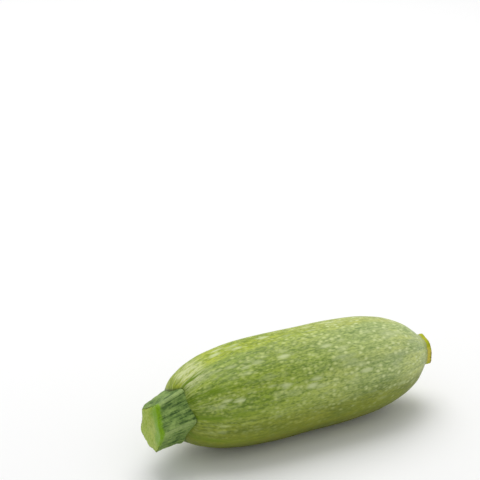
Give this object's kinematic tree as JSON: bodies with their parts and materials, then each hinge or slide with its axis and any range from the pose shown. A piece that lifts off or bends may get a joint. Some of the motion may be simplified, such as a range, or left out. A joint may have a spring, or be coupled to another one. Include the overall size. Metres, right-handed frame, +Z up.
{
  "type": "zucchini",
  "caption": "Short pale green zucchini lying on its side, with mottled waxy skin, a five-ridged cut stalk and a corky flower scar.",
  "frame": {"origin": "middle of the outer box in X and Y, at the height of the surface that the fruit lies on", "axes": "+X from the stalk to the flower end, +Z up as it lies"},
  "size_m": [0.1536, 0.0504, 0.0498],
  "materials": {
    "pale_green_skin": "thin waxy skin with a satin sheen, pale green with yellow-green flecks, pale spots and darker lengthwise streaks",
    "stalk_rind": "fibrous dark green rind with a grey-green bloom, and a moist light green cut end",
    "scar_cork": "dry, rough, olive-tan cork"
  },
  "bodies": {
    "root": {"fruit": "pale_green_skin", "stalk": "stalk_rind", "flower_scar": "scar_cork"}
  },
  "joints": []
}
